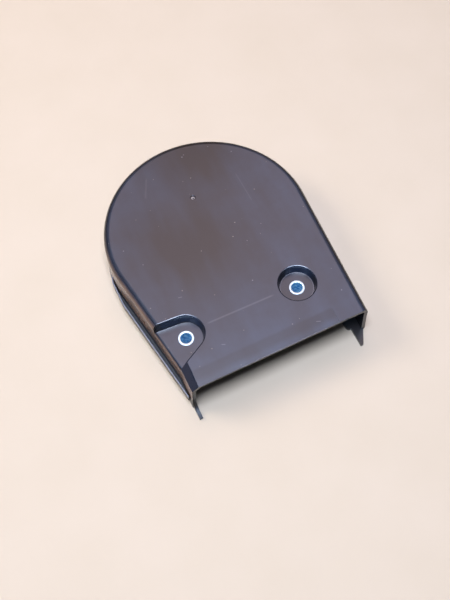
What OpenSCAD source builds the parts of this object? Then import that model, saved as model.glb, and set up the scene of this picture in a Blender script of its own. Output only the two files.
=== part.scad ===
// Upper timing belt cover, lying on its rim with the outer face up.
// One moulding shaped like an arch, open at the front, with two steel sleeves pressed into its bosses.
// Millimetres, +Z up, origin under the middle of the bounding box.

/* [Cover] */
// Height from the resting rim to the outer face
cover_h = 27.4; // [24:0.2:36]
// Thickness of the face and the walls
skin = 2.2; // [1.6:0.1:2.8]
// Radius of the arch, to the outside of the wall at face level
arch_r = 60; // [56:0.5:72]
// Distance from the arch centre to the open front edge
front_l = 86.5; // [84:0.5:100]
// Inward lean of the left side towards the front, in degrees
lean_left = 8.8; // [4:0.1:10]
// Inward lean of the right side towards the front, in degrees
lean_right = 3; // [1:0.1:8]
// Moulding draft of the walls, in degrees
draft = 2.5; // [0.5:0.1:4]
// Radius of the rolled edge between the face and the walls
edge_r = 4; // [3.2:0.1:5]

/* [Mouth] */
// Length of the mouth, where the left side runs straight to the front
mouth_l = 15.6; // [8:0.2:18]
// Width of the flat facet along the mouth's left edge
facet_w = 4.3; // [3:0.1:5.5]
// Height of that facet
facet_h = 3.6; // [2.6:0.1:5]
// Length of the sloping band along the front edge
band_l = 10.5; // [6:0.5:12]
// Drop of that band at the front edge
band_drop = 0.35; // [0.1:0.05:0.6]
// Right end of the band, from the arch centre
band_end = 38; // [30:0.5:46]

/* [Left flange] */
// Reach of the flange out from the wall
flange_w = 2.9; // [1.5:0.1:4]
// Thickness of the flange under its groove
flange_t = 2; // [1.4:0.1:3]
// Height of the lip along the flange's outer edge
flange_top = 9.5; // [7:0.5:14]
// Distance from the arch centre to the flange's cut end
flange_l = 83; // [76:0.5:84]
// Distance from the arch centre at which the flange reaches its full width and turns along the side
flange_full = 16; // [10:0.5:40]
// Angle back round the arch at which the flange starts, in degrees
flange_start = 5; // [3:0.5:20]
// Thickness of the lip
lip_t = 0.6; // [0.5:0.1:1.4]
// Depth of the groove between the lip and the wall
groove_depth = 3.5; // [1:0.1:4]

/* [Bolt recesses] */
// Distance between the two bolts
bolt_gap = 68; // [62:0.5:74]
// Distance from the arch centre to the bolt line
bolt_l = 55.5; // [52:0.5:58]
// Middle of the bolt line, to the left of the arch centre
bolt_shift = 5.5; // [3:0.5:8]
// Depth of the right recess below the face
recess_depth = 5.5; // [4:0.1:7]
// Radius of the recess floor
recess_r = 9.5; // [8.5:0.1:10.5]
// Lean of the recess wall, in degrees
recess_lean = 11; // [4:0.5:14]
// Rounding of the recess rim
rim_round = 0.9; // [0.6:0.1:1.6]

/* [Left lug] */
// Depth of the lug's floor below the face
lug_depth = 6.7; // [5:0.1:8]
// Flare of the lug's back wall, in degrees
lug_back = 4; // [0:0.5:8]
// Flare of the lug's front wall, in degrees
lug_front = 28; // [15:0.5:32]
// Radius along the lug's outer edge
lug_edge_r = 1.8; // [1:0.1:2.4]

/* [Sleeves] */
// Outside diameter of the steel sleeves
sleeve_od = 9; // [8:0.1:10]
// Bore of the sleeves, for an M6 bolt
sleeve_id = 6.4; // [6.2:0.1:7]
// Diameter of the bosses that hold them
boss_d = 14; // [12.5:0.5:16]
// Thickness of the webs beside the bosses, and of the rib between them
web_t = 1.8; // [1.2:0.1:2.4]
// Depth of the rib between the bosses, below the face
rib_h = 4.6; // [2:0.2:5]

/* [Feet] */
// Reach of the right toe beyond the front edge
toe_l = 8.8; // [6:0.2:12]
// Reach of the left toe beyond the front edge
left_toe_l = 8; // [6:0.2:12]
// Thickness of the left toe
toe_t = 2; // [1.6:0.1:2.4]
// Radius of the sweep from the wall's end into the left toe
toe_sweep = 7; // [3:0.5:9]
// Height of the toes at their tips
tip_h = 1.6; // [1:0.1:2.4]
// Width of the right foot, in from the wall
foot_w = 7.6; // [5:0.1:10]
// Width of the right toe at its tip
foot_tip_w = 1.6; // [1:0.1:3]
// Length of the right foot
foot_l = 24; // [14:1:30]
// Corner radius of the right foot
foot_round = 2.4; // [1:0.2:3]

/* [Gate mark] */
// Distance from the arch centre to the gate mark
gate_l = 20.5; // [5:0.5:35]
// Diameter of its dimple
gate_d = 3.4; // [2:0.1:5]
// Depth of its dimple
gate_depth = 0.5; // [0.2:0.1:0.8]

/* [Hidden] */
$fn = 96;
arc_steps = 8;
rim_steps = 4;
// Overrun of cutters past the faces that they open
past = 1;
// Straight sides stay this far inside the arc that they run into, so that the two cross cleanly
shy = 0.02;
bend_l = front_l - mouth_l;
floor_h = cover_h - recess_depth;
lug_h = cover_h - lug_depth;
left_x = -bolt_shift - bolt_gap / 2;
right_x = -bolt_shift + bolt_gap / 2;
flange_r = wall_at(flange_top) + flange_w;
mouth_left = side_at(bend_l, lean_left);
// Places the arch centre so that the bounding box is centred
frame_y = (front_l + max(toe_l, left_toe_l) - wall_at(0)) / 2;
left_reach = max(wall_at(0), -left_side(flange_r, flange_full).x);
frame_x = (left_reach - wall_at(0)) / 2;

// Outside of the wall, from the arch centre, at height z
function wall_at(z) = arch_r + (cover_h - z) * tan(draft);

// Outside of a leaning side at face level, from the middle, at distance l from the arch centre
function side_at(l, lean) = (arch_r - l * sin(lean)) / cos(lean);

// Point on the left side's line at distance r from the arch centre, l towards the front
function left_side(r, l) = [-(r - l * sin(lean_left)) / cos(lean_left), -l];

function on_circle(r, angle) = r * [cos(angle), sin(angle)];

function arc(centre, r, from, to, steps) =
    [for (i = [0:steps]) centre + on_circle(r, from + (to - from) * i / steps)];

// Corner of an outline moved in by t, between edges with outward normals a and b
function inset_corner(corner, a, b, t) = corner - t * (a + b) / (1 + a * b);

// Half section of a drafted loaf, filled from the middle out to the wall
// It may run on above its top, for one plane to cut it flat
module loaf_section(top, roll, inset, run_on) {
    middle = wall_at(top) - roll * (1 - sin(draft)) / cos(draft);
    rolled = arc([middle, top - roll], roll - inset, draft, 90, arc_steps);
    foot = [wall_at(-past) - inset / cos(draft), -past];
    open = top - inset + run_on;
    polygon(concat([[0, -past], foot], rolled, run_on > 0 ? [[middle, open]] : [], [[0, open]]));
}

// Extrudes a section from the arch centre towards the front
module to_front(l) {
    rotate([90, 0, 0])
        linear_extrude(l)
            children();
}

// One leaning side, as on the right, carried past the front edge
module side(lean, top, roll, inset, run_on) {
    rotate([0, 0, -lean])
        to_front((front_l + 2 * past) / cos(lean))
            translate([-shy, 0])
                loaf_section(top, roll, inset, run_on);
}

// Half section of the mouth, with a flat facet in place of the rolled edge
module mouth_section(inset) {
    upper = [mouth_left - facet_w, cover_h];
    lower = [mouth_left + facet_h * tan(draft), cover_h - facet_h];
    slope = lower - upper;
    facet = [-slope.y, slope.x] / norm(slope);
    up = [0, 1];
    out = [cos(draft), sin(draft)];
    foot = [mouth_left + (cover_h + past) * tan(draft) - inset / cos(draft), -past];
    shoulder = inset_corner(upper, up, facet, inset);
    open = cover_h - inset + past;
    corner = inset_corner(lower, facet, out, inset);
    polygon([[0, -past], foot, corner, shoulder, [shoulder.x, open], [0, open]]);
}

module mouth(inset) {
    mirror([1, 0, 0])
        translate([0, past - bend_l, 0])
            to_front(mouth_l + 3 * past)
                mouth_section(inset);
}

// Everything in front of a distance from the arch centre
module in_front_of(l) {
    translate([-2 * arch_r, -l - 2 * arch_r, -cover_h])
        cube([4 * arch_r, 2 * arch_r, 3 * cover_h]);
}

// A slab as thick as the cover is high and far wider, from height z up
module slab(z) {
    translate([-2 * arch_r, -2 * arch_r, z])
        cube([4 * arch_r, 4 * arch_r, cover_h]);
}

// The arch, its two sides and the mouth, moved in by inset and cut off ahead of the front edge by reach
module body(inset, reach) {
    difference() {
        union() {
            rotate_extrude()
                loaf_section(cover_h, edge_r, inset, past);
            side(lean_right, cover_h, edge_r, inset, past);
            difference() {
                mirror([1, 0, 0])
                    side(lean_left, cover_h, edge_r, inset, past);
                in_front_of(bend_l);
            }
            mouth(inset);
        }
        slab(cover_h - inset);
        in_front_of(front_l + reach);
    }
}

// Radius of the recess wall at height z; grow makes the cup that surrounds it
function recess_at(z, grow) = recess_r + grow + (z - floor_h) * tan(recess_lean);

// Half section of a recess about its bolt, with a rounded rim, and open above the face
module recess_section(bottom) {
    rounded_from = cover_h - rim_round * (1 - sin(recess_lean));
    edge = recess_at(rounded_from, 0) + rim_round * cos(recess_lean);
    rounded = arc([edge, cover_h - rim_round], rim_round, 180 - recess_lean, 90, rim_steps);
    open = cover_h + past;
    polygon(concat([[0, bottom], [recess_at(bottom, 0), bottom]], rounded, [[edge, open], [0, open]]));
}

// Half section of the cup under a recess, from below its floor up into the face
module cup_section(bottom) {
    top = cover_h - skin / 2;
    polygon([[0, bottom], [recess_at(bottom, skin), bottom], [recess_at(top, skin), top], [0, top]]);
}

// One straight wall of the lug, running from the bolt out past the left wall
module lug_side(flare) {
    rotate([0, 0, flare - 90])
        to_front(bolt_gap / 2)
            translate([-shy, 0])
                children();
}

// Sweeps a section round the left bolt and out along the lug's two straight walls
module lug(bottom, top) {
    // Half way out from the bolt to each straight wall, where the wedge between them starts
    back = on_circle(recess_r / 2, 90 - lug_back);
    front = on_circle(recess_r / 2, lug_front - 90);
    reach = bolt_gap / 2;
    translate([left_x, -bolt_l, 0]) {
        rotate_extrude()
            children();
        lug_side(lug_front)
            children();
        mirror([0, 1, 0])
            lug_side(lug_back)
                children();
        translate([0, 0, bottom])
            linear_extrude(top - bottom)
                polygon([back, back + on_circle(reach, 180 - lug_back),
                         front + on_circle(reach, 180 + lug_front), front]);
    }
}

// Cuts the lug down to its floor, which rolls over into the left wall
module lug_recess() {
    bottom = lug_h - lug_edge_r;
    difference() {
        lug(bottom, cover_h + past)
            recess_section(bottom);
        mirror([1, 0, 0])
            side(lean_left, lug_h, lug_edge_r, 0, 0);
    }
}

module lug_cup() {
    lug(lug_h - skin, cover_h - skin / 2)
        cup_section(lug_h - skin);
}

module round_recess() {
    translate([right_x, -bolt_l, 0])
        rotate_extrude()
            recess_section(floor_h);
}

module round_cup() {
    translate([right_x, -bolt_l, 0])
        rotate_extrude()
            cup_section(floor_h - skin);
}

// Flat outline of the flange, from inside the wall out to its edge moved in by inset
// Its other sides move out by over, for a cutter
module flange_outline(inset, over) {
    inside = arch_r - skin / 2 - over;
    start = 180 - flange_start - over;
    full = left_side(flange_r - inset, flange_full);
    end = flange_l + over;
    polygon([on_circle(inside, start), on_circle(wall_at(flange_top) - inset, start), [full.x, 0], full,
             left_side(flange_r - inset, end), left_side(inside, end), left_side(inside, 0)]);
}

// Flange along the left side, with a lip on its edge and a groove behind the lip
module flange() {
    groove_floor = flange_top - groove_depth;
    difference() {
        translate([0, 0, groove_floor - flange_t])
            linear_extrude(groove_depth + flange_t)
                flange_outline(0, 0);
        translate([0, 0, groove_floor])
            linear_extrude(groove_depth + past)
                flange_outline(lip_t, past);
    }
}

// Boss up to the floor at height top, with a web at each angle
module boss(x, top, web_angles) {
    translate([x, -bolt_l, 0]) {
        translate([0, 0, -past])
            cylinder(d = boss_d, h = past + top - skin / 2);
        for (angle = web_angles)
            rotate([0, 0, angle])
                translate([0, -web_t / 2, flange_top])
                    cube([boss_d, web_t, cover_h - skin / 2 - flange_top]);
    }
}

// Rib between the bosses, whose line reads through on the face
module rib() {
    translate([left_x, -bolt_l - web_t / 2, cover_h - skin - rib_h])
        cube([bolt_gap, web_t, rib_h + skin / 2]);
}

// Cuts the band that slopes down to the front edge
module band_cut() {
    back = front_l - band_l;
    front = front_l + past;
    fall = band_drop * (band_l + past) / band_l;
    translate([band_end, 0, 0])
        rotate([90, 0, -90])
            linear_extrude(2 * arch_r)
                polygon([[back, cover_h], [front, cover_h - fall], [front, cover_h + past],
                         [back, cover_h + past]]);
}

// Tongue that carries on from the end of the left wall
module left_toe() {
    outside = -mouth_left - cover_h * tan(draft) + toe_t / 4;
    swept = arc([front_l + toe_sweep, tip_h + toe_sweep], toe_sweep, 180, 270, arc_steps);
    tip = front_l + left_toe_l;
    translate([outside, 0, 0])
        rotate([90, 0, 90])
            mirror([1, 0, 0])
                linear_extrude(toe_t)
                    polygon(concat([[bend_l, -past], [bend_l, tip_h + toe_sweep]], swept,
                                   [[tip, tip_h], [tip, -past]]));
}

// Middle of the right wall at the rim, from the middle of the cover
function right_wall(l) = side_at(l, lean_right) + cover_h * tan(draft) - skin / 2;

// Foot turned in from the right wall, with a toe along its inner edge
module right_foot() {
    inner = right_wall(front_l) - skin / 2 - foot_w;
    toe = inner + foot_round;
    back = front_l - foot_l;
    step = front_l - foot_round;
    corner = arc([inner + foot_round, -step + foot_round], foot_round, 180, 270, rim_steps);
    translate([0, 0, -past])
        linear_extrude(skin + past)
            polygon(concat([[right_wall(back), -back], [inner, -back - foot_round]], corner,
                           [[toe, -front_l - toe_l], [toe + foot_tip_w, -front_l - toe_l],
                            [right_wall(front_l), -front_l]]));
}

module gate_mark() {
    translate([0, gate_l, cover_h - gate_depth])
        difference() {
            cylinder(d = gate_d, h = gate_depth + past);
            translate([0, 0, -past])
                cylinder(d = gate_d / 3, h = past + gate_depth / 2);
        }
}

module sleeve_hole(x) {
    translate([x, -bolt_l, -past])
        cylinder(d = sleeve_od, h = cover_h);
}

module sleeve(x, h) {
    color("gainsboro")
        translate([frame_x + x, frame_y - bolt_l, 0])
            difference() {
                cylinder(d = sleeve_od, h = h);
                translate([0, 0, -past])
                    cylinder(d = sleeve_id, h = h + 2 * past);
            }
}

module cover() {
    color("#2b2826")
        translate([frame_x, frame_y, 0])
            difference() {
                union() {
                    difference() {
                        body(0, 0);
                        body(skin, past);
                    }
                    intersection() {
                        union() {
                            round_cup();
                            lug_cup();
                        }
                        body(0, 0);
                    }
                    boss(left_x, lug_h, [-45, 45]);
                    boss(right_x, floor_h, [-90, 90]);
                    rib();
                    flange();
                    left_toe();
                    right_foot();
                }
                round_recess();
                lug_recess();
                band_cut();
                gate_mark();
                sleeve_hole(left_x);
                sleeve_hole(right_x);
                slab(-cover_h);
            }
}

module left_sleeve() {
    sleeve(left_x, lug_h);
}

module right_sleeve() {
    sleeve(right_x, floor_h);
}

cover();
left_sleeve();
right_sleeve();
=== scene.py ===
# %% [markdown]
# A timing belt cover keeps dirt and fingers out of the belt that drives an engine's camshaft.
# It is one moulding of dark plastic with two steel sleeves pressed into its bolt seats.
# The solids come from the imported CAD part, already in place and in metres, so this lesson only dresses them:
# it breaks their sharp edges, gives each a finish, and sets up the light and the camera.

import math

import bpy
from mathutils import Matrix, Vector


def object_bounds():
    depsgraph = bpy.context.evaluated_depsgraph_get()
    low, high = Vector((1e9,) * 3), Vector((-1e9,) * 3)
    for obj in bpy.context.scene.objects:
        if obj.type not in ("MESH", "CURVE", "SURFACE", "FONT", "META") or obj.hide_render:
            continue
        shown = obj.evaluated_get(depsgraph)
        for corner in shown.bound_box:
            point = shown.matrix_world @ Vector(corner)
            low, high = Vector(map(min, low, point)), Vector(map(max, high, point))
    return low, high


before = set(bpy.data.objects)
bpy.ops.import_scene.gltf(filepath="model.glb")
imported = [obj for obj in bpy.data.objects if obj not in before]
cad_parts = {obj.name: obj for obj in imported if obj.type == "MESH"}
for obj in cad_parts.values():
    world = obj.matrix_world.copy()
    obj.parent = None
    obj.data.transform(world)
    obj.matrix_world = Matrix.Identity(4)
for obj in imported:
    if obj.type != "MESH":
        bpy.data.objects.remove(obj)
cad_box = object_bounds()
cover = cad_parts["cover"]
sleeves = [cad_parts["left_sleeve"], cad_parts["right_sleeve"]]
MM = 0.001
print("part is", [round(side / MM, 1) for side in cad_box[1] - cad_box[0]], "mm")

# %% [markdown]
# Dirt, wear, painted light and shade have places on a part, named once in millimetres from its origin.
# The bolts' axes come from the sleeves, and the height of the face comes from the part's box.
# The other edges and heights are those of the solid.


# %% Places on the cover
def axis_of(tube):
    spots = [tube.matrix_world @ vertex.co / MM for vertex in tube.data.vertices]
    x, y = [(min(spot[i] for spot in spots) + max(spot[i] for spot in spots)) / 2 for i in (0, 1)]
    return Vector((x, y, 0))


LEFT_BOLT, RIGHT_BOLT = [axis_of(sleeve) for sleeve in sleeves]
FACE_TOP = cad_box[1].z / MM
# Heights: the top of the lip beside the left wall, and a level just over the floors of both seats
LIP_TOP = 9.5
SEAT_TOP = 22.0
# Along Y: the front edge of the face, a line behind the toes, the backs of the band and the bevel,
# and the ridge behind the band
FRONT_EDGE = -69.4
TOE_BACK = -65.0
BAND_BACK = -60.0
BEVEL_BACK = -51.0
RIDGE = -58.0
# Along X: the right end of the band, the open side of the left seat, and a line to the right of the left wall
BAND_END = 38.4
SEAT_OPEN = -49.0
LEFT_SIDE = -41.0
# The radius of the seats' floors, and the place of the moulding gate
SEAT_R = 9.5
GATE = Vector((0.383, 37.552, 0))
print("bolts at", [[round(c, 2) for c in bolt] for bolt in (LEFT_BOLT, RIGHT_BOLT)])

# %% [markdown]
# Colours are easiest to compare with a picture as sRGB hex values, but the shader wants linear light.
# One function does that step for every colour in the file.


# %% Colours
def linear(hex_colour):
    channels = [int(hex_colour[i : i + 2], 16) / 255 for i in (1, 3, 5)]
    return tuple(c / 12.92 if c <= 0.04045 else ((c + 0.055) / 1.055) ** 2.4 for c in channels) + (1.0,)


print("mid grey in linear light:", round(linear("#808080")[0], 3))

# %% [markdown]
# A material is a small graph. One function adds a node and fills it in: a setting that is another node's
# output is wired to the socket of that name or number, and any other goes to the node or to the socket.
# The nodes are laid out in rows, so that the graph can be read in the editor.

# %% One function for every node
NODES_IN_ROW, STEP_X, STEP_Y = 9, 220, 260


def add_node(tree, kind, settings=None):
    made = tree.nodes.new(kind)
    row, column = divmod(len(tree.nodes), NODES_IN_ROW)
    made.location = (STEP_X * column, -STEP_Y * row)
    for name, value in (settings or {}).items():
        if isinstance(value, bpy.types.NodeSocket):
            tree.links.new(value, made.inputs[name])
        elif isinstance(name, str) and hasattr(made, name):
            setattr(made, name, value)
        else:
            made.inputs[name].default_value = value
    return made


def new_material(name):
    material = bpy.data.materials.new(name)
    material.use_nodes = True
    tree = material.node_tree
    return material, tree, tree.nodes["Principled BSDF"]


print("node helper ready")

# %% [markdown]
# No moulding leaves the tool with knife edges: even a sharp corner of the tool is about a tenth of
# a millimetre round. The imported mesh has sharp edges, and its rolled edges are narrow flats.
# Welding joins the faces, dissolving the cover's flat triangles gives the bevel clean loops to work on,
# and weighted normals then let the light run smoothly over the rolls while the big faces stay flat.
# The sleeves are plain tube with a small turned chamfer, so theirs needs no dissolving.

# %% Break the edges
WELD_MM = 0.002
FLAT_DEGREES, SHARP_DEGREES = 0.2, 35
COVER_EDGE_MM, SLEEVE_EDGE_MM = 0.08, 0.06


def break_edges(piece, radius_mm, dissolve):
    weld = piece.modifiers.new("join_faces", "WELD")
    weld.merge_threshold = WELD_MM * MM
    if dissolve:
        flat = piece.modifiers.new("flat_faces", "DECIMATE")
        flat.decimate_type = "DISSOLVE"
        flat.angle_limit = math.radians(FLAT_DEGREES)
    edge = piece.modifiers.new("tool_radius", "BEVEL")
    edge.width = radius_mm * MM
    edge.segments = 2
    edge.limit_method = "ANGLE"
    edge.angle_limit = math.radians(SHARP_DEGREES)
    edge.use_clamp_overlap = not dissolve
    shade = piece.modifiers.new("soft_shading", "WEIGHTED_NORMAL")
    shade.weight = 100
    made = piece.evaluated_get(bpy.context.evaluated_depsgraph_get()).to_mesh()
    print(piece.name, "has", len(made.polygons), "faces with its edges broken")


break_edges(cover, COVER_EDGE_MM, True)
for sleeve in sleeves:
    break_edges(sleeve, SLEEVE_EDGE_MM, False)

# %% [markdown]
# Haze, dust, wear, painted light and shade each lie somewhere and fade out, so each is a mask from 0 to 1.
# The shader works it out from the place and the normal, which needs no picture and no unwrapping.
# A limit is written as a measure, where it starts and ends, and how strong the mask is at both,
# and a mask is the product of its limits.
# Places are turned to millimetres first, so that every size below can be read as it would be on a drawing.
# Colours then go on like coats of paint, each as thick as its mask says.

# %% Masks and coats
# A colour mix has one set of sockets for each kind of value, and these are the ones for colours
FACTOR, UNDER, OVER, MIXED = 0, 6, 7, 2
# A limit fills these sockets of a range, in this order
LIMIT_SOCKETS = ("Value", "From Min", "From Max", "To Min", "To Max")


def places(tree):
    """The place in millimetres, and the same as seen from above, with no height."""
    metres = add_node(tree, "ShaderNodeTexCoord").outputs["Object"]
    scaled = [{"operation": "MULTIPLY", 0: metres, 1: (1 / MM, 1 / MM, up)} for up in (1 / MM, 0)]
    return [add_node(tree, "ShaderNodeVectorMath", settings).outputs["Vector"] for settings in scaled]


def merge(tree, operation, first, *others):
    """Several masks made into one by a rule such as ADD or MAXIMUM."""
    for other in others:
        settings = {"operation": operation, "use_clamp": True, 0: first, 1: other}
        first = add_node(tree, "ShaderNodeMath", settings).outputs["Value"]
    return first


def mask(tree, *limits, easing="SMOOTHSTEP"):
    """The product of limits. An earlier mask or a plain number can stand among them."""
    parts = []
    for limit in limits:
        if isinstance(limit, tuple):
            settings = {"interpolation_type": easing, **dict(zip(LIMIT_SOCKETS, limit))}
            limit = add_node(tree, "ShaderNodeMapRange", settings).outputs["Result"]
        parts.append(limit)
    return merge(tree, "MULTIPLY", *parts)


def around(tree, place, spot, *limits):
    """A mask that is limited by the distance from one spot."""
    away = add_node(tree, "ShaderNodeVectorMath", {"operation": "DISTANCE", 0: place, 1: spot})
    return mask(tree, *[(away.outputs["Value"], *limit) for limit in limits])


def paint(tree, base, *coats):
    """A base colour with coats over it, each a colour and a mask."""
    colour = linear(base)
    for tint, amount in coats:
        over = linear(tint) if isinstance(tint, str) else tint
        settings = {"data_type": "RGBA", FACTOR: amount, UNDER: colour, OVER: over}
        colour = add_node(tree, "ShaderNodeMix", settings).outputs[MIXED]
    return colour


print("mask helpers ready")

# %% [markdown]
# The cover is polypropylene filled with a little talc, coloured brown-black and moulded against a finely
# spark-eroded tool. That gives a dark body colour under a wide soft sheen. A faint blue coat lies over it,
# partly talc bloomed by heat and age, partly painted sheen that makes the face lighter and bluer. It is
# mottled, and thinner over the middle of the face and at the far end, which paints them browner and darker
# as shade. A cloth has drawn it out into broad streaks. It is thickest on the ridge behind the front band,
# where it paints a brighter sheen. Noise makes the mottle and the streaks, and masks do the rest.

# %% Moulded plastic, its haze and painted sheen
MOTTLE_MM, STREAK_MM = 18, 14
STREAK_TURN, STREAK_STRETCH = math.radians(-24), 4
STREAK_DEPTH = 0.26
RIDGE_SHEEN, RIDGE_FADE_MM = 0.14, 12
plastic, tree, shader = new_material("polypropylene_moulded")
place, flat = places(tree)
normal = add_node(tree, "ShaderNodeNewGeometry").outputs["Normal"]
axes = add_node(tree, "ShaderNodeSeparateXYZ", {0: place}).outputs
facing = add_node(tree, "ShaderNodeSeparateXYZ", {0: normal}).outputs
upward = facing["Z"]
mottle = add_node(
    tree, "ShaderNodeTexNoise", {"Vector": place, "Scale": 1 / MOTTLE_MM, "Detail": 5.0, "Roughness": 0.6}
).outputs["Fac"]
haze_and_sheen = mask(tree, (mottle, 0.3, 0.7, 0.4, 0.7), easing="LINEAR")
# Thinner round two places on the face, painted shade that makes them browner and darker
for spot, reach in (((-14, 8, FACE_TOP), 60), ((12, 66, FACE_TOP), 48)):
    haze_and_sheen = mask(tree, haze_and_sheen, around(tree, place, spot, (0, reach, 0, 1)))
drawn = add_node(
    tree,
    "ShaderNodeMapping",
    {"Vector": place, "Rotation": (0, 0, STREAK_TURN), "Scale": (1, 1 / STREAK_STRETCH, 1)},
).outputs["Vector"]
strands = add_node(tree, "ShaderNodeTexNoise", {"Vector": drawn, "Scale": 1 / STREAK_MM, "Detail": 4.0})
streaks = mask(tree, (strands.outputs["Fac"], 0.35, 0.7, 0, STREAK_DEPTH), easing="LINEAR")
# Thicker on the ridge behind the band, as a painted brighter sheen
ridge_sheen = mask(tree, (axes["Y"], RIDGE, RIDGE + RIDGE_FADE_MM, RIDGE_SHEEN, 0))
# None on what lies low, so the feet and the groove behind the lip stay dark as painted shade
low = mask(tree, (axes["Z"], LIP_TOP - 0.9, LIP_TOP - 0.3, 1, 0))
# The streaks add as much as they take away
haze_and_sheen = merge(tree, "SUBTRACT", merge(tree, "ADD", haze_and_sheen, streaks), STREAK_DEPTH / 2)
haze_and_sheen = merge(tree, "SUBTRACT", merge(tree, "ADD", haze_and_sheen, ridge_sheen), low)
# Full on level faces and a quarter as thick on the rolls and walls: the tops are painted lighter, as sheen
haze_and_sheen = mask(tree, haze_and_sheen, mask(tree, (upward, 0.85, 0.995, 0.25, 1), easing="LINEAR"))
# The blue coat is partly talc haze and partly painted sheen
coats = [("#2d384a", haze_and_sheen)]
print("haze made of", len(tree.nodes), "nodes")

# %% [markdown]
# The outside of the left wall mirrors the warm floor, and a tan coat on it is that reflection, painted.
# The top of the lip is painted light, as a highlight, and the groove behind it is painted black, as shade.
# The cut ends of the toes are painted just as dark, as shade. All of these follow from where a face is and
# which way it looks.

# %% Painted reflection, highlight and shade on the left wall, lip, groove and toes
outside = mask(tree, (axes["X"], LEFT_SIDE - 1, LEFT_SIDE + 1, 1, 0))
# A painted reflection of the warm floor on the outside of the left wall
warm_reflection = mask(tree, (facing["X"], -0.55, -0.99, 0, 0.82), (mottle, 0.35, 0.65, 0.55, 1), easing="LINEAR")
# The painted reflection starts over the lip, and thins out along the arch
warm_reflection = mask(tree, warm_reflection, (axes["Z"], LIP_TOP - 0.5, LIP_TOP + 2.5, 0, 1), (axes["Y"], 0, 50, 1, 0))
warm_reflection = mask(tree, warm_reflection, (axes["X"], LEFT_SIDE + 5, LEFT_SIDE + 7, 1, 0))
# A painted highlight along the top of the lip
lip_highlight = mask(tree, (axes["Z"], LIP_TOP - 0.3, LIP_TOP - 0.1, 0, 0.6), outside, upward)
lip_highlight = mask(tree, lip_highlight, (axes["Z"], LIP_TOP + 0.05, LIP_TOP + 0.2, 1, 0))
# Painted shade in the groove behind the lip
groove_shade = mask(tree, outside, low)
under_face = mask(tree, (axes["Z"], FACE_TOP - 3.4, FACE_TOP - 2.4, 1, 0))
# Painted shade on the forward-facing cut ends of the toes
end_shade = mask(tree, (facing["Y"], -0.85, -0.97, 0, 0.8), easing="LINEAR")
end_shade = mask(tree, end_shade, (axes["Y"], TOE_BACK - 1, TOE_BACK + 1, 1, 0), under_face)
coats += [
    ("#84695a", warm_reflection),
    ("#848a99", lip_highlight),
    ("#070606", mask(tree, groove_shade, upward)),
    ("#070606", end_shade),
]
print("coats so far:", len(coats))

# %% [markdown]
# Three places are painted nearly black, as shade: the band behind the front edge, the floor of the
# round seat, and the bevel at the front left corner, which slopes 3.6 mm down for 4.3 mm across.
# On the back walls of the two seats a navy coat is a painted blue reflection.
# A slope is picked out by how well the surface normal agrees with the direction that it should have.

# %% Painted shade, and painted reflection on the seat walls
BEVEL_SLOPE = Vector((-3.6, 0, 4.3)).normalized()
SEAT_BACK_WALL = Vector((-0.6, -0.8, 0))
SHADE_STRENGTH = 0.4
band = mask(
    tree,
    (axes["Y"], BAND_BACK - 1, BAND_BACK + 1, 1, 0),
    (axes["Y"], FRONT_EDGE + 1.4, FRONT_EDGE + 5.4, 0, 1),
    (axes["X"], BAND_END - 0.5, BAND_END + 0.5, 1, 0),
    (axes["Z"], FACE_TOP - 0.8, FACE_TOP - 0.4, 0, 1),
)
seat = around(tree, flat, RIGHT_BOLT, (SEAT_R, SEAT_R + 0.3, 1, 0))
seat = mask(tree, seat, (axes["Z"], SEAT_TOP, SEAT_TOP + 0.4, 1, 0))
like_bevel, like_wall = [
    add_node(tree, "ShaderNodeVectorMath", {"operation": "DOT_PRODUCT", 0: normal, 1: way}).outputs["Value"]
    for way in (BEVEL_SLOPE, SEAT_BACK_WALL)
]
bevel = mask(tree, (like_bevel, 0.96, 0.99, 0, 0.75), easing="LINEAR")
bevel = mask(tree, bevel, outside, (axes["Y"], BEVEL_BACK - 1, BEVEL_BACK + 1, 1, 0))
# Painted shade on the band behind the front edge, the round seat's floor and the bevel
dark_shade = merge(tree, "ADD", mask(tree, merge(tree, "ADD", band, seat), SHADE_STRENGTH), bevel)
# A painted blue reflection on the back walls of the seats
navy_reflection = mask(tree, (like_wall, 0.5, 0.9, 0, 0.7), easing="LINEAR")
navy_reflection = mask(
    tree,
    navy_reflection,
    (axes["X"], SEAT_OPEN - 1, SEAT_OPEN + 1, 0, 1),
    (axes["Y"], TOE_BACK - 1, TOE_BACK + 1, 0, 1),
    (axes["Z"], SEAT_TOP - 1.1, SEAT_TOP + 0.5, 0, 1),
)
coats += [("#070606", dark_shade), ("#1b2b47", navy_reflection)]
print("coats so far:", len(coats))

# %% [markdown]
# A rib under the face shrinks as it cools and pulls the face in by a few hundredths of a millimetre.
# The shallow sink shows as a light line between the two bolt seats, a painted highlight. Handling has left
# rubs, short scratches and small chips, and a painted highlight runs along the front edge. Where plastic is
# scuffed it whitens.
# A straight mark is made by turning the place onto the mark's own axis and limiting it along and across.


# %% Painted highlights, scratches and chips
def face_line(tree, place, start, end, half_width):
    along = Vector(end) - Vector(start)
    middle = (Vector(start) + Vector(end)) / 2
    turn = math.atan2(along.y, along.x)
    settings = {"vector_type": "TEXTURE", "Vector": place, "Location": (*middle, 0), "Rotation": (0, 0, turn)}
    turned = add_node(tree, "ShaderNodeMapping", settings).outputs["Vector"]
    distances = add_node(tree, "ShaderNodeVectorMath", {"operation": "ABSOLUTE", 0: turned}).outputs["Vector"]
    off = add_node(tree, "ShaderNodeSeparateXYZ", {0: distances}).outputs
    # The mark fades out over the last twelfth of its length at each end, and softly to both sides
    ends = (off["X"], 0.42 * along.length, 0.5 * along.length, 1, 0)
    sides = (off["Y"], 0.2 * half_width, half_width, 1, 0)
    print("line of", round(along.length, 1), "mm on the face")
    return mask(tree, ends, sides)


CHIP_STRENGTH = 0.4
marks_and_highlights = []
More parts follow.
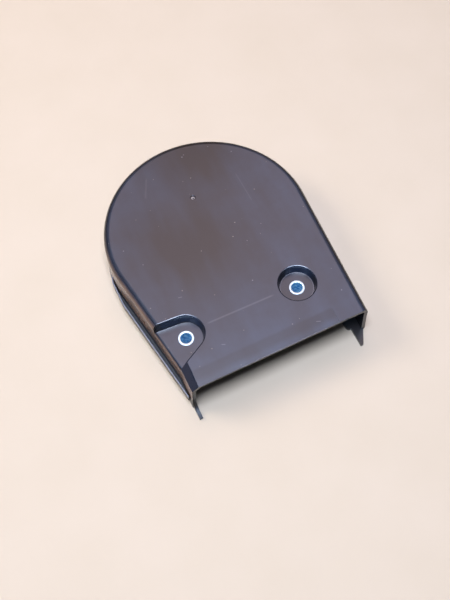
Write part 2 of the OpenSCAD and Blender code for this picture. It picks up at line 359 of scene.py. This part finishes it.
# Start, end, half width, strength: painted sink highlight, two rubs, painted edge highlight, three scratches
for start, end, half_width, strength in (
    ((-27.2, -38.5), (14.8, -39.2), 0.75, 0.12),
    ((30.0, 42.2), (30.3, 20.0), 0.5, 0.05),
    ((-18.4, 62.3), (-24.7, 49.1), 0.8, 0.05),
    ((-22.0, FRONT_EDGE), (34.0, FRONT_EDGE), 0.25, 0.25),
    ((27.0, -63.5), (29.5, -64.5), 0.35, 0.25),
    ((-24.5, -53.0), (-22.5, -54.0), 0.35, 0.25),
    ((-34.0, -17.5), (-31.5, -18.0), 0.35, 0.2),
):
    marks_and_highlights.append(mask(tree, face_line(tree, place, start, end, half_width), strength))
# Chips about a millimetre across, each with its place and radius
for x, y, radius in (
    (34.5, 57.0, 0.45),
    (6.5, 66.5, 0.55),
    (8.0, 67.5, 0.4),
    (23.5, 66.5, 0.35),
    (-43.0, 10.0, 0.4),
    (-49.5, 23.0, 0.45),
    (16.0, -2.0, 0.35),
    (28.0, 4.5, 0.35),
    (7.5, -26.0, 0.5),
    (48.5, -53.0, 0.5),
):
    marks_and_highlights.append(around(tree, flat, (x, y, 0), (0.4 * radius, radius, CHIP_STRENGTH, 0)))
print("marks on the face:", len(marks_and_highlights))

# %% [markdown]
# Round the floor of each seat, where it meets the wall, a light line is painted as a highlight:
# a full ring in the round seat, and in the open one a part of a ring that runs into a
# straight line. It is drawn in the same pale colour as the scuffs.

# %% Painted highlights round the seat floors
FLOOR_EDGE_HIGHLIGHT = 0.24
HIGHLIGHT_START, HIGHLIGHT_END = (-54.5, -28.2), (-39.0, -29.3)
floor_highlights = [face_line(tree, place, HIGHLIGHT_START, HIGHLIGHT_END, 0.35)]
# Painted highlights round the floor of each seat
for bolt, begins in ((RIGHT_BOLT, cad_box[0].x / MM), (LEFT_BOLT, HIGHLIGHT_END[0])):
    ring = around(tree, flat, bolt, (SEAT_R - 0.5, SEAT_R - 0.25, 0, 1), (SEAT_R - 0.1, SEAT_R + 0.05, 1, 0))
    floor_highlights.append(mask(tree, ring, (axes["X"], begins, begins + 1, 0, 1)))
floor_highlight = merge(tree, "MAXIMUM", *floor_highlights)
marks_and_highlights.append(mask(tree, floor_highlight, (axes["Z"], SEAT_TOP, SEAT_TOP + 0.2, FLOOR_EDGE_HIGHLIGHT, 0), upward))
coats.append(("#8a8890", merge(tree, "MAXIMUM", *marks_and_highlights)))
print("insert lines made:", len(floor_highlights))

# %% [markdown]
# The plastic entered the tool through a gate in the arched half of the face, and the stub was broken off.
# The dimple round it is painted dark, as shade, and the stub light, as a highlight,
# with a dark pit of painted shade in its front half.
# Three small discs, one over the other, are enough at this size.

# %% Gate mark
# Painted shade in the dimple, a painted highlight on the stub, and painted shade in the pit
for tint, shift, radius in (("#060505", 0, 1.65), ("#86807f", 0.1, 1.0), ("#0c0a0a", -0.3, 0.5)):
    middle = GATE + Vector((0, shift, 0))
    coats.append((tint, around(tree, flat, middle, (radius - 0.15, radius + 0.1, 0.9, 0))))
print("coats so far:", len(coats))

# %% [markdown]
# Dust is drawn as sparse specks. A cell pattern puts one point in every few millimetres,
# a random number per cell keeps only some of them, and each kept one gets its own size.
# Dust lies only where it can rest, so the upward part of the surface normal masks it.

# %% Dust specks
CELL_MM = 5
SPECK_MM, SPECK_EDGE_MM = 0.35, 0.1
SPECK_STRENGTH = 0.3
cells = add_node(
    tree, "ShaderNodeTexVoronoi", {"voronoi_dimensions": "2D", "Vector": place, "Scale": 1 / CELL_MM}
).outputs
pick = add_node(tree, "ShaderNodeSeparateColor", {"Color": cells["Color"]}).outputs["Red"]
# A tenth of the cells hold a speck, and its radius is at most 0.35 mm
size = mask(tree, (pick, 0.9, 1.0, 0, SPECK_MM / CELL_MM), easing="LINEAR")
inside = merge(tree, "SUBTRACT", size, cells["Distance"])
speck = mask(tree, (inside, 0, SPECK_EDGE_MM / CELL_MM, 0, SPECK_STRENGTH), easing="LINEAR")
dust = mask(tree, speck, upward)
coats.append(("#b9aea0", dust))
print("dust specks in cells of", CELL_MM, "mm")

# %% [markdown]
# The spark-eroded grain is about 0.1 mm, too fine for this picture, so it is drawn 0.5 mm wide to show.
# Under it the faces are never quite flat: slow waves some 25 mm long bend the reflections a little.
# Dust, and the places with painted reflection and shade, are matt. The tool's walls and rims are polished
# so that the part lets go, and are about half as rough.
# Last, the coats go on over the body colour in the order in which they came.

# %% Grain, waves and gloss
BODY = "#151110"
WAVE_MM, GRAIN_MM = 25, 0.5
WAVE_DEPTH_MM, GRAIN_DEPTH_MM = 0.35, 0.02
MATT = 0.4
POLYPROPYLENE_IOR = 1.49
waves, grain = [
    add_node(tree, "ShaderNodeTexNoise", {"Vector": place, "Scale": 1 / size, "Detail": 1.0}).outputs["Fac"]
    for size in (WAVE_MM, GRAIN_MM)
]
wavy = add_node(tree, "ShaderNodeBump", {"Height": waves, "Distance": WAVE_DEPTH_MM * MM, "Strength": 0.5})
grained = add_node(
    tree,
    "ShaderNodeBump",
    {"Height": grain, "Distance": GRAIN_DEPTH_MM * MM, "Strength": 0.25, "Normal": wavy.outputs["Normal"]},
)
gloss = mask(tree, (mottle, 0, 1, 0.27, 0.32), easing="LINEAR")
# Dust, and the places with painted reflection and shade, are made matt
matt_places = merge(tree, "ADD", dust, warm_reflection, groove_shade, end_shade)
rough = merge(tree, "ADD", mask(tree, matt_places, MATT), gloss)
polish = mask(tree, (upward, 0.5, 0.98, 0.5, 1), easing="LINEAR")
shader.inputs["IOR"].default_value = POLYPROPYLENE_IOR
tree.links.new(paint(tree, BODY, *coats), shader.inputs["Base Color"])
tree.links.new(mask(tree, rough, polish), shader.inputs["Roughness"])
tree.links.new(grained.outputs["Normal"], shader.inputs["Normal"])
cover.material_slots[0].material = plastic
print("cover wears", plastic.name, "with", len(coats), "coats")

# %% [markdown]
# The sleeves are cut from steel tube and zinc plated. The end faces are bare of tint and scatter the light,
# so they read as a near-white ring, and the chamfer round each ring is painted darker, as shade.
# Inside the bore the passivate film has gone on thick and looks blue.
# A face that looks sideways belongs to the bore or the barrel, so the normal tells the two apart.

# %% Zinc-plated steel
BLOTCH_MM = 1.5
CHAMFER_FROM_MM, CHAMFER_TO_MM = 4.15, 4.4
CHAMFER_SHADE = 0.8
zinc, tree, shader = new_material("steel_zinc_plated_blue_passivate")
place, flat = places(tree)
normal = add_node(tree, "ShaderNodeNewGeometry").outputs["Normal"]
blotch = add_node(
    tree, "ShaderNodeTexNoise", {"Vector": place, "Scale": 1 / BLOTCH_MM, "Detail": 2.0}
).outputs["Fac"]
# A dark ring of painted shade on each chamfer
chamfer_shades = [around(tree, flat, bolt, (CHAMFER_FROM_MM, CHAMFER_TO_MM, 0, 1)) for bolt in (LEFT_BOLT, RIGHT_BOLT)]
plate = paint(tree, "#99a1a1", ("#a5acab", blotch), ("#3c4144", mask(tree, *chamfer_shades, CHAMFER_SHADE)))
either_way = add_node(tree, "ShaderNodeVectorMath", {"operation": "ABSOLUTE", 0: normal}).outputs["Vector"]
level = add_node(tree, "ShaderNodeSeparateXYZ", {0: either_way}).outputs["Z"]
end_face = mask(tree, (level, 0.3, 0.7, 0, 1), easing="LINEAR")
thin_film = mask(tree, (blotch, 0.35, 0.65, 0, 1), easing="LINEAR")
colour = paint(tree, "#3592ca", ("#b4e8f8", thin_film), (plate, end_face))
tree.links.new(colour, shader.inputs["Base Color"])
# The thick film hides most of the metal
tree.links.new(mask(tree, (end_face, 0, 1, 0.1, 1), easing="LINEAR"), shader.inputs["Metallic"])
tree.links.new(mask(tree, (blotch, 0, 1, 0.4, 0.5), easing="LINEAR"), shader.inputs["Roughness"])
for sleeve in sleeves:
    sleeve.material_slots[0].material = zinc
print("sleeves wear", zinc.name)

# %% [markdown]
# The floor is a plain pale sheet, warm in tone, because the near-vertical walls mirror it.
# A faint mottle keeps it from looking like a flat fill. In a studio the sheet would curve up into a backdrop.
# Here it fades with distance into a lit tone, the same as the wall behind it, so low views have no horizon.

# %% Floor
BACKDROP = "#f1e6dc"
FLOOR_M, FIBRE_MM = 8, 40
FADE_FROM_MM, FADE_TO_MM = 280, 800
bpy.ops.mesh.primitive_plane_add(size=FLOOR_M, location=(0, 0, cad_box[0].z))
floor = bpy.context.object
floor.name = "floor"
paper, tree, shader = new_material("card_matt_warm")
place, flat = places(tree)
fibre = add_node(
    tree, "ShaderNodeTexNoise", {"Vector": place, "Scale": 1 / FIBRE_MM, "Detail": 4.0}
).outputs["Fac"]
tree.links.new(paint(tree, "#bcb09d", ("#c3b7a6", fibre)), shader.inputs["Base Color"])
shader.inputs["Roughness"].default_value = 0.9
shader.inputs["Specular IOR Level"].default_value = 0.0
far = around(tree, flat, (0, 0, 0), (FADE_FROM_MM, FADE_TO_MM, 0, 1))
glow = add_node(tree, "ShaderNodeEmission", {"Color": linear(BACKDROP), "Strength": 1.0})
sweep = add_node(tree, "ShaderNodeMixShader", {0: far, 1: shader.outputs[0], 2: glow.outputs[0]})
tree.links.new(sweep.outputs[0], tree.nodes["Material Output"].inputs["Surface"])
floor.data.materials.append(paper)
print("floor at z =", round(cad_box[0].z, 4))

# %% [markdown]
# Five soft panels light the part, as in a small studio with its lamps hung from a frame.
# The bright key hangs nearly overhead, clear of what the face mirrors. A wide dimmer panel further back is
# what the camera sees mirrored in the satin face, so it sets the sheen. One at the back left throws the
# shadow forward and isn't mirrored. The long card in front and the small window at the left are only
# mirrored: they draw the light lines along the rims and rolls, and give no other light.


# %% Light
def soft_panel(name, at, aim, size, watts, tint):
    lamp = bpy.data.lights.new(name, "AREA")
    lamp.shape = "RECTANGLE"
    lamp.size, lamp.size_y = size
    lamp.energy = watts
    lamp.color = linear(tint)[:3]
    panel = bpy.data.objects.new(name, lamp)
    bpy.context.scene.collection.objects.link(panel)
    panel.location = at
    panel.rotation_euler = (Vector(aim) - Vector(at)).to_track_quat("-Z", "Y").to_euler()
    print(name, "gives", watts, "W")
    return panel


soft_panel("key_panel", (-0.1, -0.16, 1.15), (-0.1, -0.16, 0), (0.45, 0.4), 21, "#dce6fc")
soft_panel("sheen_panel", (0.24, 0.56, 1.15), (0.24, 0.56, 0), (0.9, 0.82), 7.2, "#ffe4ea")
left_panel = soft_panel("left_panel", (-0.85, 0.7, 1.0), (0, 0, 0), (0.6, 0.6), 12, "#fff0e0")
left_panel.visible_glossy = False
front_card = soft_panel("front_card", (-0.25, -0.62, 1.35), (0, 0, 0), (1.8, 0.55), 110, "#c4d8fc")
front_card.visible_diffuse = False
window = soft_panel("window", (-1.1, 0.48, 0.38), (0, 0, 0), (0.7, 0.45), 0.9, "#8fb4ff")
window.visible_diffuse = False

# %% [markdown]
# Between the panels the part mirrors the room. It is dim, cool in front and at the left, where the
# daylight is, and warm at the right and the back, so that the rolled edges read dark and take both tones.
# All other light gets a weak fill, and rays straight from the camera see a pale wall.
# A light path node tells these rays apart.

# %% Room
FILL_STRENGTH, ROOM_STRENGTH = 0.06, 0.55
WARM_SIDE = (1.0, 0.8, 0.0)
world = bpy.data.worlds.new("studio")
bpy.context.scene.world = world
world.use_nodes = True
tree = world.node_tree
tree.nodes.clear()
rays = add_node(tree, "ShaderNodeLightPath").outputs
way = add_node(tree, "ShaderNodeTexCoord").outputs["Generated"]
toward = add_node(tree, "ShaderNodeVectorMath", {"operation": "DOT_PRODUCT", 0: way, 1: WARM_SIDE})
warm = mask(tree, (toward.outputs["Value"], -0.3, 0.7, 0, 1), easing="LINEAR")
room = paint(tree, "#7c9cd8", ("#b3968e", warm))
fill, dusk, wall = [
    add_node(tree, "ShaderNodeBackground", {"Color": tint, "Strength": strength}).outputs[0]
    for tint, strength in ((linear("#d9e2f5"), FILL_STRENGTH), (room, ROOM_STRENGTH), (linear(BACKDROP), 1.0))
]
seen = merge(tree, "ADD", rays["Is Camera Ray"], rays["Is Transmission Ray"])
sky = add_node(tree, "ShaderNodeMixShader", {0: rays["Is Glossy Ray"], 1: fill, 2: dusk}).outputs[0]
sky = add_node(tree, "ShaderNodeMixShader", {0: seen, 1: sky, 2: wall}).outputs[0]
add_node(tree, "ShaderNodeOutputWorld", {"Surface": sky})
bpy.context.scene.view_settings.view_transform = "Standard"
print("room made of", len(tree.nodes), "nodes")

# %% [markdown]
# The camera stands half a metre away, in front and to the left, and looks steeply down.
# Its place and turn were worked out from the outline, the front edge and the two sleeves,
# which fixes the lens as well: about 51 mm on a 36 mm film, tipped less than four degrees.

# %% Camera
ELEVATION, AZIMUTH, ROLL = math.radians(64.254), math.radians(-22.28), math.radians(-3.728)
STANDS_AT = (-0.08798, -0.21710, 0.44637)
FILM_MM, LENS_MM = 36, 51.03
right = Vector((math.cos(AZIMUTH), math.sin(AZIMUTH), 0))
ahead = Vector((-math.sin(AZIMUTH), math.cos(AZIMUTH), 0))
back = Vector((0, 0, math.sin(ELEVATION))) - ahead * math.cos(ELEVATION)
turn = Matrix((right, back.cross(right), back)).transposed() @ Matrix.Rotation(ROLL, 3, "Z")
lens = bpy.data.cameras.new("camera")
lens.sensor_width = FILM_MM
lens.lens = LENS_MM
camera = bpy.data.objects.new("camera", lens)
bpy.context.scene.collection.objects.link(camera)
camera.matrix_world = Matrix.Translation(STANDS_AT) @ turn.to_4x4()
bpy.context.scene.camera = camera
print("camera at", [round(c, 3) for c in camera.matrix_world.translation])
